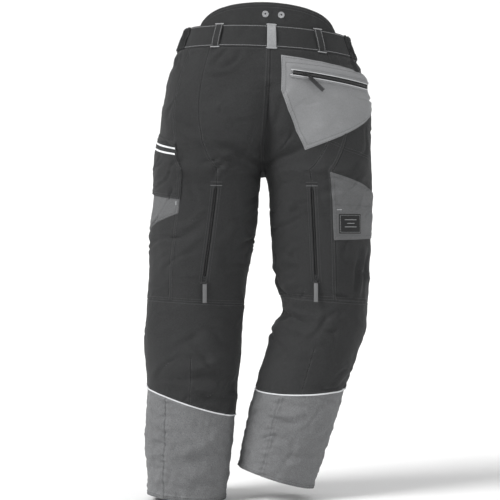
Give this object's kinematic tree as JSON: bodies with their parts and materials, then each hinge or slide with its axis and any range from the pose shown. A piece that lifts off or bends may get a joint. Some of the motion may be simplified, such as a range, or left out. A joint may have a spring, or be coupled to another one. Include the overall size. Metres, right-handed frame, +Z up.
{
  "type": "chainsaw protective trousers",
  "caption": "Chainsaw protective trousers with a raised kidney back, contrast cuffs with piping, zipped vents behind the thighs, a zipped hip pocket and thigh pockets.",
  "frame": {"origin": "middle of the waist opening, at the height of the waistband's top edge", "axes": "+Z up the body, +Y to the wearer's front, +X to the wearer's right"},
  "size_m": [0.5355, 0.2842, 1.1465],
  "materials": {
    "outer_cloth": "matte woven stretch cloth, charcoal",
    "cuff_cloth": "matte hard-wearing woven cloth, mid grey",
    "pocket_cloth": "matte woven cloth, light grey",
    "grey_cloth": "matte woven cloth, grey",
    "light_trim": "retroreflective tape, pale silver",
    "piping_trim": "pale piping cord",
    "cut_pad": "loose cut-protection fibre pad, off white",
    "elastic_cloth": "gathered elastic, charcoal",
    "zip_plastic": "black coil and tape",
    "zip_metal": "gunmetal slider",
    "pull_grip": "black moulded grip",
    "stud_metal": "nickel-plated press stud",
    "button_metal": "dark metal button",
    "label_cloth": "woven plain label, nearly black",
    "loop_cloth": "light grey webbing"
  },
  "bodies": {
    "seat": {"brace_studs": "stud_metal", "centre_belt_loop": "loop_cloth", "fly_placket": "outer_cloth", "fly_zip": "zip_plastic", "hip_pocket": "pocket_cloth", "hip_zip": "zip_plastic", "kidney_yoke": "outer_cloth", "left_back_inner_panel": "outer_cloth", "left_back_outer_panel": "outer_cloth", "left_front_panel": "outer_cloth", "left_hand_pocket": "outer_cloth", "left_knee_back": "outer_cloth", "left_knee_front": "outer_cloth", "left_side_panel": "outer_cloth", "left_thigh_pad": "cut_pad", "left_vent_zip": "zip_plastic", "left_waistband_front": "outer_cloth", "pocket_label": "label_cloth", "right_back_inner_panel": "outer_cloth", "right_back_outer_panel": "outer_cloth", "right_front_panel": "outer_cloth", "right_hand_pocket": "outer_cloth", "right_knee_back": "outer_cloth", "right_knee_front": "outer_cloth", "right_side_panel": "outer_cloth", "right_thigh_pad": "cut_pad", "right_vent_zip": "zip_plastic", "right_waistband_front": "outer_cloth", "rule_pocket": "grey_cloth", "side_belt_loops": "outer_cloth", "thigh_pocket": "grey_cloth", "waist_button": "button_metal", "waist_elastics": "elastic_cloth", "waistband_back": "outer_cloth"},
    "right_shin": {"right_calf_inner_panel": "outer_cloth", "right_calf_outer_panel": "outer_cloth", "right_cuff_back": "cuff_cloth", "right_cuff_front": "cuff_cloth", "right_cuff_piping": "piping_trim", "right_shin_pad": "cut_pad", "right_shin_panel": "outer_cloth"},
    "left_shin": {"left_calf_inner_panel": "outer_cloth", "left_calf_outer_panel": "outer_cloth", "left_cuff_back": "cuff_cloth", "left_cuff_front": "cuff_cloth", "left_cuff_piping": "piping_trim", "left_shin_pad": "cut_pad", "left_shin_panel": "outer_cloth"},
    "hip_slider": {"hip_slider": "zip_metal"},
    "hip_pull": {"hip_pull": "pull_grip"},
    "right_vent_slider": {"right_vent_slider": "zip_metal"},
    "left_vent_slider": {"left_vent_slider": "zip_metal"},
    "right_vent_pull": {"right_vent_pull": "pull_grip"},
    "left_vent_pull": {"left_vent_pull": "pull_grip"},
    "fly_slider": {"fly_slider": "zip_metal", "fly_pull": "pull_grip"},
    "thigh_flap": {"thigh_flap": "outer_cloth", "reflective_stripes": "light_trim"}
  },
  "joints": [
    {"name": "right_vent_slide", "type": "slide", "parent": "seat", "child": "right_vent_slider", "axis": [-0.0528, -0.1413, 0.9886], "range_m": [0, 0.2004]},
    {"name": "right_vent_pull_lift", "type": "hinge", "parent": "right_vent_slider", "child": "right_vent_pull", "pos_m": [0.1113, -0.08822, -0.56691], "axis": [-0.9871, 0.1599, 0], "range_deg": [0, 150]},
    {"name": "left_vent_slide", "type": "slide", "parent": "seat", "child": "left_vent_slider", "axis": [0.1274, -0.0994, 0.9869], "range_m": [0, 0.2042]},
    {"name": "left_vent_pull_lift", "type": "hinge", "parent": "left_vent_slider", "child": "left_vent_pull", "pos_m": [-0.14369, -0.0968, -0.56914], "axis": [-0.9874, -0.1582, 0], "range_deg": [0, 150]},
    {"name": "right_knee", "type": "hinge", "parent": "seat", "child": "right_shin", "pos_m": [0.126, 0.02, -0.68], "axis": [-1, 0, 0], "range_deg": [0, 50], "deforming": ["right_knee_front", "right_knee_back"]},
    {"name": "left_knee", "type": "hinge", "parent": "seat", "child": "left_shin", "pos_m": [-0.169, 0.01, -0.69], "axis": [-1, 0, 0], "range_deg": [0, 50], "deforming": ["left_knee_front", "left_knee_back"]},
    {"name": "hip_zip_slide", "type": "hinge", "parent": "seat", "child": "hip_slider", "pos_m": [0.04692, 0.08414, -0.10094], "axis": [0.129, 0.0027, 0.9916], "range_deg": [-5.64, 43.8]},
    {"name": "hip_pull_lift", "type": "hinge", "parent": "hip_slider", "child": "hip_pull", "pos_m": [0.0862, -0.14712, -0.10544], "axis": [-0.6663, -0.0988, -0.7391], "range_deg": [0, 150]},
    {"name": "fly_slide", "type": "slide", "parent": "seat", "child": "fly_slider", "axis": [-0.0569, -0.0158, -0.9983], "range_m": [0, 0.0489]},
    {"name": "thigh_flap_lift", "type": "hinge", "parent": "seat", "child": "thigh_flap", "pos_m": [-0.25961, -0.00856, -0.23252], "axis": [0, 0.9712, 0.2383], "range_deg": [0, 100]}
  ]
}
